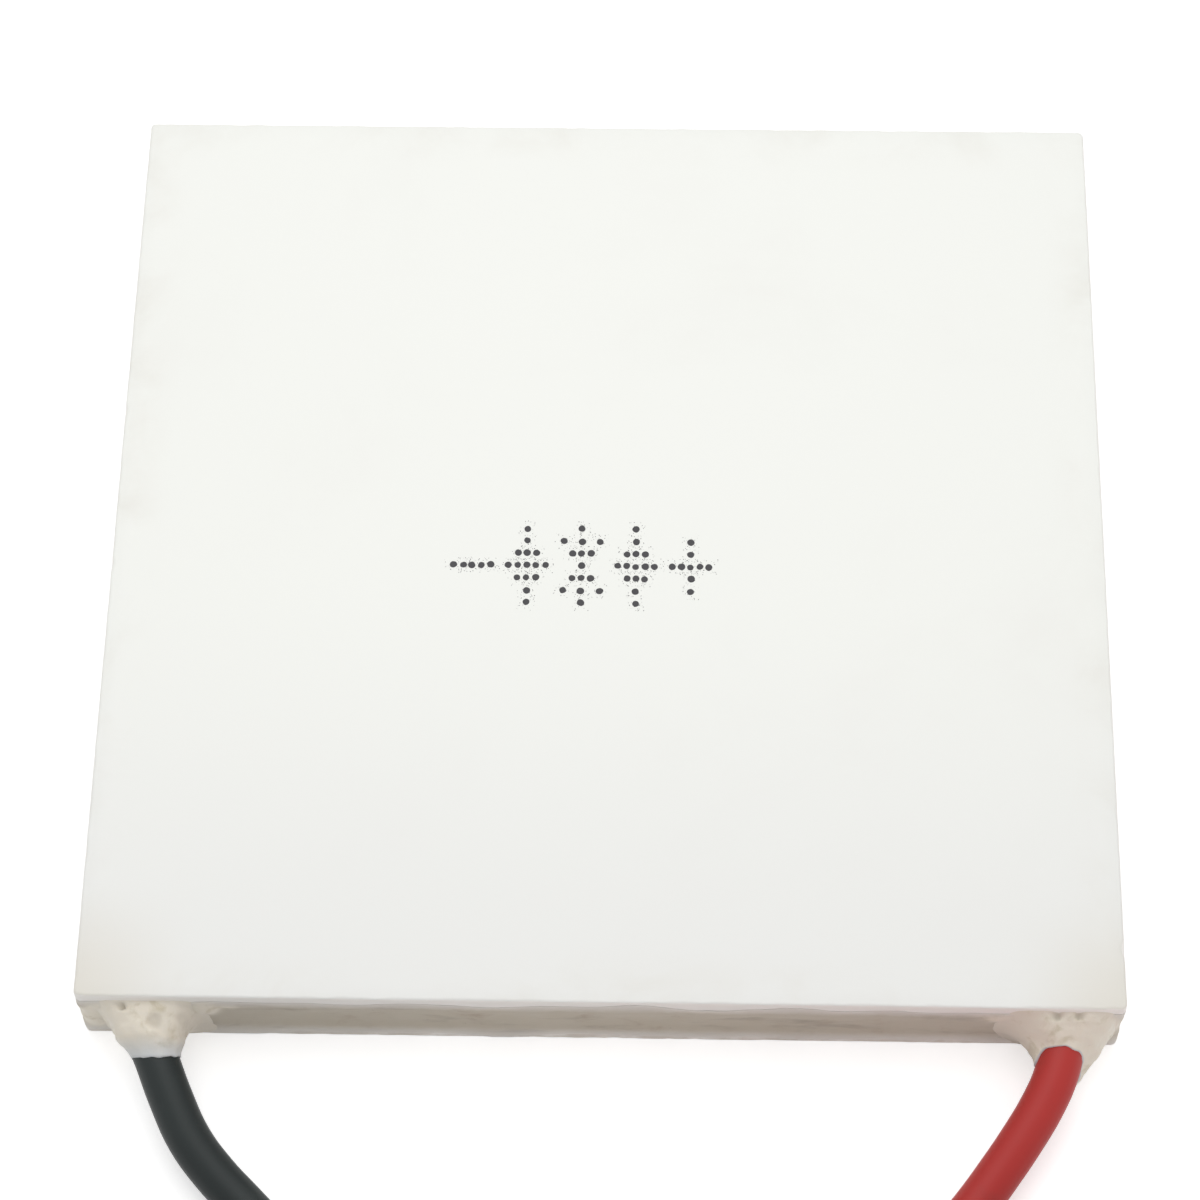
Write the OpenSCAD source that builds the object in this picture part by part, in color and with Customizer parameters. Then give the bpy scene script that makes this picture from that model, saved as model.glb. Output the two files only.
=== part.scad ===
// Thermoelectric cooling module: two square ceramic plates with a chain of semiconductor
// couples between them, a silicone seal round the rim and two wire leads on the hot side.
//
// The hot plate lies on the origin's plane, the cold plate is on top, and both leads leave
// towards -Y. Each piece of the real module is a module below, in the order of assembly.

/* [Plates] */
// Side of the square ceramic plates
module_w = 40; // [36:0.5:46]
// Thickness of each ceramic plate
plate_t = 0.8; // [0.5:0.05:1.2]

/* [Couples] */
// Pairs of columns in the square array of cells, each run up and down by the chain
column_pairs = 8; // [6:1:9]
// Side of a semiconductor pellet
pellet_w = 1.4; // [1:0.05:1.6]
// Height of a semiconductor pellet
pellet_h = 1.6; // [1.2:0.1:2.4]
// Bare rim between the plate's edge and the first row of pellets
array_rim = 1.6; // [1.6:0.1:2.4]
// Thickness of the copper tabs on both plates
tab_t = 0.3; // [0.2:0.05:0.4]
// How far a copper tab reaches past its pellets on every side
tab_rim = 0.1; // [0.05:0.01:0.15]
// Thickness of the solder under and over each pellet
solder_t = 0.05; // [0.03:0.01:0.1]

/* [Seal] */
// Clear lane between the silicone bead and the copper tabs
seal_gap = 0.25; // [0.1:0.05:0.5]
// How far the bead's upper and lower edges lie inside the plates' edges
seal_inset = 0.05; // [0.05:0.05:0.2]
// Depth of the hollow face that the drawn bead has
seal_hollow = 0.12; // [0.08:0.02:0.3]
// Width of a silicone dab at the plates, where a lead comes out
dab_w = 4.4; // [3.6:0.1:4.4]
// Bare strip of the plates' edges above and below a dab
dab_margin = 0.2; // [0.1:0.05:0.4]
// Length of a dab along its lead
dab_l = 1.6; // [1:0.1:2.2]
// Thickness of the dab's silicone round the lead at its tip
dab_skin = 0.15; // [0.1:0.05:0.3]

/* [Leads] */
// Diameter of a lead over its insulation
lead_d = 1.7; // [1.5:0.05:1.8]
// Diameter of a lead's bare strands
conductor_d = 0.9; // [0.6:0.05:1]
// Height of the insulation above the hot plate where it leaves the seal
lead_lift = 0.05; // [0.05:0.05:0.1]
// Distance of the black lead from the middle of its pad, towards the module's middle
black_offset = 0.3; // [0:0.05:0.35]
// Distance of the red lead from the middle of its pad, away from the module's middle
red_offset = 0.1; // [0:0.05:0.35]
// Length of the bare strands that lie on a pad inside the seal
inner_strip = 1.7; // [1.4:0.1:1.8]
// Length of the tinned end that is stripped for wiring
tip_strip = 6; // [4:0.5:10]
// Mean radius of the coil that a lead is stored in
coil_r = 10.2; // [9:0.1:10.5]
// Thickness of the paper tie round a coil
tie_t = 0.25; // [0.2:0.05:0.4]
// Width of the paper tie
tie_w = 3; // [2:0.5:4]

/* [Hidden] */
// Sizes that follow from the ones above
half_w = module_w / 2;
plate_gap = 2 * tab_t + 2 * solder_t + pellet_h;
cold_plate_z = plate_t + plate_gap;
module_h = cold_plate_z + plate_t;
tab_w = pellet_w + 2 * tab_rim;
first_cell = array_rim + pellet_w / 2 - half_w;
// As many cells each way, an even number, so that both ends of the chain are at the front
pairs = round(column_pairs);
cells = 2 * pairs;
pitch = -2 * first_cell / (cells - 1);
cell_count = cells * cells;
pellet_z = plate_t + tab_t + solder_t;

// Leads: the height of the axis inside the seal, and lying on the surface
lead_r = lead_d / 2;
lead_z = plate_t + lead_lift + lead_r;
lead_lie = lead_r;
seal_inner = array_rim - tab_rim - seal_gap;

// The chain's pieces are made and named by the pair of columns that they start in
GROUPS = [for (g = [1:pairs]) g];

// Where the leads cross the line of the plates' front edges
black_x = first_cell + black_offset;
red_x = -first_cell + red_offset;

// Routes in a lead's own frame, as [inward, outward, share of the drop from exit to surface]:
// inward is towards the module's middle and outward is away from its front edge
black_route = [
    [0, -seal_inner, 0], [0, -0.1, 0], [0.15, 0.9, 0], [0.55, 1.9, 0.05], [1.1, 3.2, 0.25],
    [1.9, 4.75, 0.55], [2.9, 6, 0.8], [4, 7.1, 0.95], [5.6, 8.7, 1], [7.2, 10.3, 1],
    [8.8, 11.9, 1], [10.4, 13.5, 0.9], [12.1, 15.2, 0.7]
];
red_route = [
    [0, -seal_inner, 0], [0, -0.1, 0], [0.08, 0.7, 0], [0.35, 1.8, 0.05], [0.9, 3, 0.25],
    [1.7, 4.3, 0.5], [2.5, 5.45, 0.75], [3.5, 6.8, 0.95], [4.9, 8.5, 1], [6.5, 10.2, 1],
    [8.1, 11.85, 1], [9.75, 13.5, 0.9], [11.4, 15.2, 0.7]
];
// Middles of the coils in the same frame
black_coil = [4.9, 22.4];
red_coil = [4.2, 22.4];
// The free end behind a coil, as [outward from the coil's middle, share of the drop]
tail_route = [
    [0, 0], [2, 0], [4, 0.02], [6, 0.08], [8, 0.2], [10, 0.38], [12, 0.58],
    [14, 0.76], [16, 0.9], [18, 0.97], [20, 1], [22, 1]
];
coil_turns = 3.125;
coil_base = tie_t + lead_r;
coil_top = coil_base + coil_turns * lead_d;
tail_end = tail_route[len(tail_route) - 1][0];

// One node for each piece, with the chain's pieces grouped by pairs of columns

$fn = 48;
TUBE_SIDES = 8;
// A dab is lofted in this many steps from thin slices, with these corners at the plates
DAB_STEPS = 4;
DAB_SLICE = 0.01;
DAB_CORNER = 0.5;

ALUMINA = [0.96, 0.96, 0.94];
COPPER = [0.80, 0.47, 0.32];
P_TYPE = [0.42, 0.43, 0.46];
N_TYPE = [0.50, 0.51, 0.53];
SOLDER = [0.72, 0.73, 0.74];
SILICONE = [0.79, 0.75, 0.69];
TINNED = [0.76, 0.75, 0.72];
PAPER = [0.93, 0.92, 0.88];
BLACK_PVC = [0.16, 0.17, 0.17];
RED_PVC = [0.66, 0.16, 0.14];

// ---- Plates ----

module plate(base_z) {
    color(ALUMINA)
        translate([-half_w, -half_w, base_z])
            cube([module_w, module_w, plate_t]);
}

module hot_plate() {
    plate(0);
}

module cold_plate() {
    plate(cold_plate_z);
}

// ---- Chain of couples ----
// Cell k of the chain runs up the first column, down the second and so on, so its two ends
// lie in the corners at the front edge. The tab under cells k and k + 1 is on the hot plate
// for an even k and on the cold plate for an odd one.

function chain_column(k) = floor(k / cells);
function chain_row(k) = chain_column(k) % 2 == 0 ? k % cells : cells - 1 - k % cells;
function cell_at(k) = [first_cell + chain_column(k) * pitch, first_cell + chain_row(k) * pitch];
function group_of(k) = floor(chain_column(k) / 2) + 1;
function group_cells(g, odd) = [for (k = [0:cell_count - 2]) if (group_of(k) == g && k % 2 == odd) k];

// A copper bridge from cell k to the next one
module tab(k) {
    start = cell_at(k);
    reach = cell_at(k + 1) - start;
    corner = [min(start.x, start.x + reach.x), min(start.y, start.y + reach.y)];
    translate([corner.x - tab_w / 2, corner.y - tab_w / 2, 0])
        cube([abs(reach.x) + tab_w, abs(reach.y) + tab_w, tab_t]);
}

// A square block on each of the given cells
module blocks(ks, base_z, height) {
    for (k = ks)
        translate([cell_at(k).x - pellet_w / 2, cell_at(k).y - pellet_w / 2, base_z])
            cube([pellet_w, pellet_w, height]);
}

module hot_tabs(g) {
    color(COPPER)
        translate([0, 0, plate_t])
            for (k = group_cells(g, 0)) tab(k);
}

module cold_tabs(g) {
    color(COPPER)
        translate([0, 0, cold_plate_z - tab_t])
            for (k = group_cells(g, 1)) tab(k);
}

module p_pellets(g) {
    color(P_TYPE)
        blocks(group_cells(g, 1), pellet_z, pellet_h);
}

module n_pellets(g) {
    // Cell 0 is the black lead's pad and has no pellet
    color(N_TYPE)
        blocks([for (k = group_cells(g, 0)) if (k > 0) k], pellet_z, pellet_h);
}

module hot_solder() {
    color(SOLDER)
        blocks([1:cell_count - 2], plate_t + tab_t, solder_t);
}

module cold_solder() {
    color(SOLDER)
        blocks([1:cell_count - 2], pellet_z + pellet_h, solder_t);
}

// ---- Seal ----

// One side's hollow: a long cylinder whose arc passes the bead's upper and lower edges
module seal_groove() {
    chord = plate_gap / 2;
    groove_r = (chord * chord + seal_hollow * seal_hollow) / (2 * seal_hollow);
    translate([0, seal_inset - half_w + seal_hollow - groove_r, plate_t + chord])
        rotate([0, 90, 0])
            cylinder(r = groove_r, h = 2 * module_w, center = true, $fn = 96);
}

module seal_bead() {
    outer = module_w - 2 * seal_inset;
    inner = module_w - 2 * seal_inner;
    difference() {
        translate([-outer / 2, -outer / 2, plate_t])
            cube([outer, outer, plate_gap]);
        translate([-inner / 2, -inner / 2, plate_t - 1])
            cube([inner, inner, plate_gap + 2]);
        for (side = [0:3])
            rotate([0, 0, 90 * side])
                seal_groove();
    }
}

module edge_seal() {
    color(SILICONE)
        difference() {
            seal_bead();
            for (x = [black_x, red_x])
                translate([x, -half_w, lead_z])
                    rotate([90, 0, 0])
                        cylinder(r = lead_r, h = 4 * seal_inner, center = true);
        }
}

// ---- Leads ----

// The points of a route in the module's frame; inward_x is +1 or -1
function route_points(route, exit_x, inward_x) = [
    for (p = route)
        [exit_x + inward_x * p[0], -half_w - p[1], lead_z + p[2] * (lead_lie - lead_z)]
];

// The points of the free end that leaves the top of a coil
function tail_points(coil, exit_x, inward_x) = [
    for (p = tail_route)
        [exit_x + inward_x * (coil[0] + coil_r), -half_w - coil[1] - p[0],
            coil_top + p[1] * (lead_lie - coil_top)]
];

function unit(v) = v / norm(v);

// One ring of a tube round point p, square to the direction d and with a flat underneath
function tube_ring(p, d) =
    let (side = unit(cross(d, [0, 0, 1])), up = cross(side, d))
    [for (i = [0:TUBE_SIDES - 1])
        let (a = 360 * (i + 0.5) / TUBE_SIDES)
        p + lead_r * (cos(a) * side + sin(a) * up)];

// A closed tube along the points, its first end square to -Y where it leaves the seal
module tube(points) {
    last = len(points) - 1;
    rings = [for (i = [0:last])
        tube_ring(points[i], unit(points[min(i + 1, last)] - points[max(i - 1, 0)]))];
    quads = [for (i = [0:last - 1], j = [0:TUBE_SIDES - 1])
        let (k = (j + 1) % TUBE_SIDES)
        [i * TUBE_SIDES + j, i * TUBE_SIDES + k, (i + 1) * TUBE_SIDES + k, (i + 1) * TUBE_SIDES + j]];
    start_cap = [for (j = [TUBE_SIDES - 1:-1:0]) j];
    end_cap = [for (j = [0:TUBE_SIDES - 1]) last * TUBE_SIDES + j];
    polyhedron([for (ring = rings) each ring], concat([start_cap, end_cap], quads));
}

// Moves a coil's pieces to the coil's middle
module at_coil(coil, exit_x, inward_x) {
    translate([exit_x + inward_x * coil[0], -half_w - coil[1], 0])
        children();
}

// All that lies inside the coil's outer wall, which its lead and tail stop at
module coil_envelope(coil, exit_x, inward_x) {
    at_coil(coil, exit_x, inward_x)
        translate([0, 0, -1])
            cylinder(r = coil_r + lead_r, h = coil_top + 4 * lead_d);
}

// The lead from its pad to the coil
module lead(paint, route, coil, exit_x, inward_x) {
    color(paint)
        difference() {
            tube(route_points(route, exit_x, inward_x));
            coil_envelope(coil, exit_x, inward_x);
        }
}

// The turns, which lie on each other, as one ring
module lead_coil(paint, coil, exit_x, inward_x) {
    wall_h = coil_top - coil_base;
    color(paint)
        at_coil(coil, exit_x, inward_x)
            rotate_extrude($fn = 96)
                translate([coil_r, coil_base]) {
                    circle(r = lead_r);
                    translate([-lead_r, 0])
                        square([lead_d, wall_h]);
                    translate([0, wall_h])
                        circle(r = lead_r);
                }
}

// A band of paper round the turns, on the side that is away from the module's middle
module lead_tie(coil, exit_x, inward_x) {
    window_h = coil_turns * lead_d + lead_d;
    color(PAPER)
        at_coil(coil, exit_x, inward_x)
            translate([-inward_x * coil_r, 0, 0])
                difference() {
                    translate([-lead_r - 2 * tie_t, -tie_w / 2, 0])
                        cube([lead_d + 4 * tie_t, tie_w, window_h + 2 * tie_t]);
                    translate([-lead_r - tie_t, -tie_w, tie_t])
                        cube([lead_d + 2 * tie_t, 2 * tie_w, window_h]);
                }
}

// The free end from the coil to the stripped tip
module lead_tail(paint, coil, exit_x, inward_x) {
    color(paint)
        difference() {
            tube(tail_points(coil, exit_x, inward_x));
            coil_envelope(coil, exit_x, inward_x);
        }
}

module lead_tip(coil, exit_x, inward_x) {
    color(TINNED)
        at_coil(coil, exit_x, inward_x)
            translate([inward_x * coil_r, -tail_end, lead_lie])
                rotate([90, 0, 0])
                    cylinder(d = conductor_d, h = tip_strip);
}

// The bare strands on the pad
module conductor(exit_x) {
    color(TINNED)
        translate([exit_x, seal_inner - half_w, lead_z])
            rotate([-90, 0, 0])
                cylinder(d = conductor_d, h = inner_strip);
}

// The solder that wets the strands and the pad, up to the height of the strands' middle
module lead_joint(exit_x, pad_x) {
    pad_y = first_cell;
    pad_z = plate_t + tab_t;
    color(SOLDER)
        difference() {
            hull() {
                translate([pad_x - pellet_w / 2, pad_y - pellet_w / 2, pad_z])
                    cube([pellet_w, pellet_w, solder_t]);
                translate([exit_x - conductor_d / 2, pad_y - pellet_w / 4, pad_z])
                    cube([conductor_d, pellet_w / 2, lead_z - pad_z]);
            }
            translate([exit_x, 0, lead_z])
                rotate([90, 0, 0])
                    cylinder(d = conductor_d, h = 2 * module_w, center = true);
        }
}

// How far inward a lead's axis has moved at a distance outward of the plates' edge
function lead_shift(route, outward) = lookup(outward, [for (p = route) [p[1], p[0]]]);

// One section of a dab at the share t of its length: a rounded rectangle at the plates that
// draws in to a circle round the lead
module dab_slice(route, exit_x, inward_x, t) {
    flare = pow(1 - t, 2);
    tip_w = lead_d + 2 * dab_skin;
    w = tip_w + (dab_w - tip_w) * flare;
    h = tip_w + (module_h - 2 * dab_margin - tip_w) * flare;
    corner_r = tip_w / 2 - (tip_w / 2 - DAB_CORNER) * flare;
    mid_x = exit_x + inward_x * lead_shift(route, dab_l * t);
    mid_z = lead_z + (module_h / 2 - lead_z) * flare;
    for (x = [corner_r - w / 2, w / 2 - corner_r], z = [corner_r - h / 2, h / 2 - corner_r])
        translate([mid_x + x, -half_w - dab_l * t, mid_z + z])
            rotate([90, 0, 0])
                cylinder(r = corner_r, h = DAB_SLICE, $fn = 24);
}

// The dab of silicone that a lead comes out of, run into the bead's hollow face behind it
module lead_seal(route, exit_x, inward_x) {
    color(SILICONE)
        difference() {
            union() {
                for (i = [0:DAB_STEPS - 1])
                    hull() {
                        dab_slice(route, exit_x, inward_x, i / DAB_STEPS);
                        dab_slice(route, exit_x, inward_x, (i + 1) / DAB_STEPS);
                    }
                translate([exit_x - dab_w / 2, -half_w, plate_t])
                    cube([dab_w, seal_inset + seal_hollow, plate_gap]);
            }
            seal_bead();
            tube(route_points(route, exit_x, inward_x));
        }
}

// ---- Nodes ----

hot_plate();
cold_plate();
edge_seal();
hot_solder();
cold_solder();

for (g = GROUPS) {
    hot_tabs(g);
    p_pellets(g);
    n_pellets(g);
    cold_tabs(g);
}

lead_seal(black_route, black_x, 1);  // black_lead_seal
lead_joint(black_x, first_cell);  // black_lead_joint
conductor(black_x);  // black_conductor
lead(BLACK_PVC, black_route, black_coil, black_x, 1);  // black_lead
lead_coil(BLACK_PVC, black_coil, black_x, 1);  // black_lead_coil
lead_tie(black_coil, black_x, 1);  // black_lead_tie
lead_tail(BLACK_PVC, black_coil, black_x, 1);  // black_lead_tail
lead_tip(black_coil, black_x, 1);  // black_lead_tip

lead_seal(red_route, red_x, -1);  // red_lead_seal
lead_joint(red_x, -first_cell);  // red_lead_joint
conductor(red_x);  // red_conductor
lead(RED_PVC, red_route, red_coil, red_x, -1);  // red_lead
lead_coil(RED_PVC, red_coil, red_x, -1);  // red_lead_coil
lead_tie(red_coil, red_x, -1);  // red_lead_tie
lead_tail(RED_PVC, red_coil, red_x, -1);  // red_lead_tail
lead_tip(red_coil, red_x, -1);  // red_lead_tip
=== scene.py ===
import math

import bmesh
import bpy
from mathutils import Matrix, Vector, noise


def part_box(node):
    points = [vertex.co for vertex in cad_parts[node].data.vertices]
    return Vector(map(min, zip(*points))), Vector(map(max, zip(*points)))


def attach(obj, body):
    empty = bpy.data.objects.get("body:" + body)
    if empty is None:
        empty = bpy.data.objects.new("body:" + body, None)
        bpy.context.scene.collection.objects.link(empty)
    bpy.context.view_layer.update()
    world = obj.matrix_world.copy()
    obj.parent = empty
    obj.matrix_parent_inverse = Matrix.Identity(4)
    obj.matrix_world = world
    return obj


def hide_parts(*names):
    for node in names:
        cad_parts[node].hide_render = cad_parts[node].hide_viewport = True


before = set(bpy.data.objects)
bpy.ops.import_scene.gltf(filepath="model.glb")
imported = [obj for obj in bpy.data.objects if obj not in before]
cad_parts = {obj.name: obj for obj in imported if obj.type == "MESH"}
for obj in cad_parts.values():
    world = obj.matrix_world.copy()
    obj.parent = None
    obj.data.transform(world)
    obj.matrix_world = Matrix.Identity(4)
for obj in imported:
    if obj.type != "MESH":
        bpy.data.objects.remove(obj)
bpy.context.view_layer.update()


# ---- Hot plate ----
# A square of fired alumina, 0.8 mm thick, that carries the lower half of the copper tabs.
# It is laser-scribed and snapped out of a larger sheet, so its rim is square but finely chipped.

MM = 0.001
RIM_STEP = 0.1 * MM
RIM_ROUND = 0.12 * MM
RIM_WAVE = 0.6 * MM
CORNER_ROUND = 0.22 * MM
CHIP_DEPTH = 0.5 * MM
CHIP_WIDTH = 1.3 * MM
CHIP_ARC = [math.radians(angle) for angle in (0, 30, 60, 90)]

hot_low, hot_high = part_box("hot_plate")
half_side = hot_high.x


def seat(piece, slot, *nodes):
    """Fixes a finished piece to the module, in place of the plain solids that it stands for."""
    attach(piece, "root")
    if nodes:
        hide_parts(*nodes)


def in_scene(name, data):
    """Makes an object of a mesh, curve, lamp or camera and puts it in the scene."""
    made = bpy.data.objects.new(name, data)
    bpy.context.scene.collection.objects.link(made)
    return made


def piece_from(bm, name):
    """Turns the faces of a piece's mesh outwards and puts it in the scene."""
    bmesh.ops.recalc_face_normals(bm, faces=bm.faces)
    mesh = bpy.data.meshes.new(name)
    bm.to_mesh(mesh)
    bm.free()
    return in_scene(name, mesh)


def rim_stations():
    """Points round the module's square rim, as shares of half its side."""
    count = round(2 * half_side / RIM_STEP)
    shares = [2 * i / count - 1 for i in range(count)]
    sides = [[(s, -1) for s in shares], [(1, s) for s in shares]]
    sides += [[(-s, 1) for s in shares], [(-1, -s) for s in shares]]
    return [station for side in sides for station in side]


def at_rim(station, inset):
    """The plan position of a station, moved in from the rim by inset, or out if it is negative."""
    x, y = [share * (half_side - inset) for share in station]
    core = half_side - CORNER_ROUND
    over_x, over_y = abs(x) - core, abs(y) - core
    if over_x > 0 and over_y > 0:
        pull = (CORNER_ROUND - inset) / math.hypot(over_x, over_y)
        x = math.copysign(core + over_x * pull, x)
        y = math.copysign(core + over_y * pull, y)
    return x, y


def rim_loft(name, profile, closed):
    """Carries a profile of (inset, height) pairs round the rim, closed on itself or by two caps."""
    bm = bmesh.new()
    rings = []
    for station in rim_stations():
        here = Vector((*at_rim(station, 0), 0))
        rings.append([bm.verts.new((*at_rim(station, inset), z)) for inset, z in profile(here)])
    rows = len(rings[0])
    for a, b in zip(rings, rings[1:] + rings[:1]):
        for i in range(rows if closed else rows - 1):
            j = (i + 1) % rows
            bm.faces.new((a[i], b[i], b[j], a[j])).smooth = True
    if not closed:
        bm.faces.new([ring[0] for ring in rings])
        bm.faces.new([ring[-1] for ring in rings])
    return piece_from(bm, name)


def chip(here, seed):
    """How much of the edge has broken off at a point of the rim."""
    uneven = noise.noise(here / RIM_WAVE + Vector((0, 0, seed)))
    flake = noise.noise(here / CHIP_WIDTH + Vector((0, 0, seed + 3)))
    return RIM_ROUND * (1 + 0.5 * uneven) + CHIP_DEPTH * max(0, flake - 0.5)


def ceramic_plate(name, low_z, high_z, seed):
    """A snapped square plate whose upper and lower edges are finely and unevenly rounded."""
    def profile(here):
        under = chip(here, seed)
        over = chip(here, seed + 7)
        inner = CORNER_ROUND + CHIP_DEPTH
        lower = [(under * (1 - math.sin(a)), low_z + under * (1 - math.cos(a))) for a in CHIP_ARC]
        upper = [(over * (1 - math.sin(a)), high_z - over * (1 - math.cos(a))) for a in CHIP_ARC]
        return [(inner, low_z)] + lower + upper[::-1] + [(inner, high_z)]

    return rim_loft(name, profile, closed=False)


def linear(red, green, blue):
    """A colour written as it shows on a screen, from 0 to 255, for a shader's socket."""
    return [((c / 255 + 0.055) / 1.055) ** 2.4 for c in (red, green, blue)] + [1]


def add(tree, kind, inputs=None, **settings):
    """Adds a node to a tree; an input that is given a socket is linked to it."""
    node = tree.nodes.new(kind)
    for key, value in settings.items():
        setattr(node, key, value)
    for key, value in (inputs or {}).items():
        if isinstance(value, bpy.types.NodeSocket):
            tree.links.new(value, node.inputs[key])
        else:
            node.inputs[key].default_value = value
    return node


def reckon(tree, operation, *values):
    """The output of a Math node on the given numbers and sockets."""
    return add(tree, "ShaderNodeMath", dict(enumerate(values)), operation=operation).outputs[0]


def times(tree, a, b):
    """The product of two masks, or of a mask and a number."""
    return reckon(tree, "MULTIPLY", a, b)


def ramp(tree, value, start, end):
    """A mask that rises smoothly from 0 at start to 1 at end."""
    return add(tree, "ShaderNodeMapRange", {"Value": value, "From Min": start, "From Max": end},
               interpolation_type="SMOOTHSTEP").outputs["Result"]


def effect(name, inputs, output):
    """Starts a shader node group with Position and the given number inputs, and one output."""
    group = bpy.data.node_groups.new(name, "ShaderNodeTree")
    group.interface.new_socket("Position", in_out="INPUT", socket_type="NodeSocketVector")
    for socket, value in inputs.items():
        made = group.interface.new_socket(socket, in_out="INPUT", socket_type="NodeSocketFloat")
        made.default_value = value
    group.interface.new_socket(output, in_out="OUTPUT", socket_type="NodeSocketFloat")
    return group, group.nodes.new("NodeGroupInput"), group.nodes.new("NodeGroupOutput")


def make_blotches():
    """Soft uneven patches: Size in metres, Cover from 0 to 1 and the Softness of their edges."""
    group, given, out = effect("blotches", {"Size": 0.01, "Cover": 0.5, "Softness": 0.15}, "Mask")
    scale = reckon(group, "DIVIDE", 1.0, given.outputs["Size"])
    cloud = add(group, "ShaderNodeTexNoise", {
        "Vector": given.outputs["Position"], "Scale": scale,
        "Detail": 5.0, "Roughness": 0.6, "Distortion": 0.4})
    start = reckon(group, "MULTIPLY_ADD", -0.5, given.outputs["Cover"], 0.75)
    end = reckon(group, "ADD", start, given.outputs["Softness"])
    group.links.new(ramp(group, cloud.outputs["Fac"], start, end), out.inputs["Mask"])
    return group


def make_specks():
    """Scattered round specks: Spacing and Radius in metres, Share of the cells that have one."""
    group, given, out = effect("specks", {"Spacing": 0.004, "Radius": 0.00005, "Share": 0.3}, "Mask")
    scale = reckon(group, "DIVIDE", 1.0, given.outputs["Spacing"])
    cells = add(group, "ShaderNodeTexVoronoi", {
        "Vector": given.outputs["Position"], "Scale": scale})
    pick = add(group, "ShaderNodeSeparateColor", {"Color": cells.outputs["Color"]})
    chosen = reckon(group, "LESS_THAN", pick.outputs["Red"], given.outputs["Share"])
    radius = times(group, times(group, given.outputs["Radius"], scale), pick.outputs["Green"])
    dot = add(group, "ShaderNodeMapRange", {
        "Value": cells.outputs["Distance"], "From Min": radius,
        "From Max": times(group, radius, 0.5)})
    group.links.new(times(group, dot.outputs["Result"], chosen), out.inputs["Mask"])
    return group


def make_grain():
    """The fine unevenness of a surface as a height from 0 to 1: Size in metres."""
    group, given, out = effect("grain", {"Size": 0.0002}, "Height")
    scale = reckon(group, "DIVIDE", 1.0, given.outputs["Size"])
    fine = add(group, "ShaderNodeTexNoise", {
        "Vector": given.outputs["Position"], "Scale": scale, "Detail": 4.0, "Roughness": 0.65})
    group.links.new(fine.outputs["Fac"], out.inputs["Height"])
    return group


BLOTCHES = make_blotches()
SPECKS = make_specks()
GRAIN = make_grain()


def finish(name, roughness, metallic=0.0):
    """A new material: its tree, its shader and the position that its patterns read."""
    material = bpy.data.materials.new(name)
    material.use_nodes = True
    tree = material.node_tree
    shader = tree.nodes["Principled BSDF"]
    shader.inputs["Roughness"].default_value = roughness
    shader.inputs["Metallic"].default_value = metallic
    place = add(tree, "ShaderNodeTexCoord").outputs["Object"]
    return material, tree, shader, place


def use(tree, group, place, **values):
    """Places one of the shared effects in a material and returns its output."""
    node = add(tree, "ShaderNodeGroup", node_tree=group)
    tree.links.new(place, node.inputs["Position"])
    for key, value in values.items():
        node.inputs[key].default_value = value
    return node.outputs[0]


# a Mix node has a socket A, a B and a Result for each kind of data; these are the colour ones
MIX_BELOW = 6
MIX_ABOVE = 7
MIX_RESULT = 2


def mixed(tree, amount, below, above):
    """Lays one colour over another by a mask."""
    return add(tree, "ShaderNodeMix", {"Factor": amount, MIX_BELOW: below, MIX_ABOVE: above},
               data_type="RGBA").outputs[MIX_RESULT]


def roughen(tree, shader, height, depth):
    """Gives the surface a fine relief of the given depth in metres."""
    bump = add(tree, "ShaderNodeBump", {"Height": height, "Distance": depth, "Strength": 1.0})
    tree.links.new(bump.outputs["Normal"], shader.inputs["Normal"])


FIRED_WHITE = linear(247, 248, 243)
CLOUDED_WHITE = linear(240, 239, 234)
# the grey of the painted shade towards the front edge, in place of the lamp's fall-off
FRONT_SHADE_WHITE = linear(239, 239, 237)
WIPED_RIM = linear(230, 227, 219)
STAINED_CORNER = linear(224, 217, 202)
SPECK_BROWN = linear(120, 112, 106)
SNAPPED_SIDE = linear(251, 248, 243)
FILMED_SIDE = linear(222, 215, 205)
WIPED_WIDTH = 2.4 * MM
STAIN_WIDTH = 5 * MM


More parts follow.
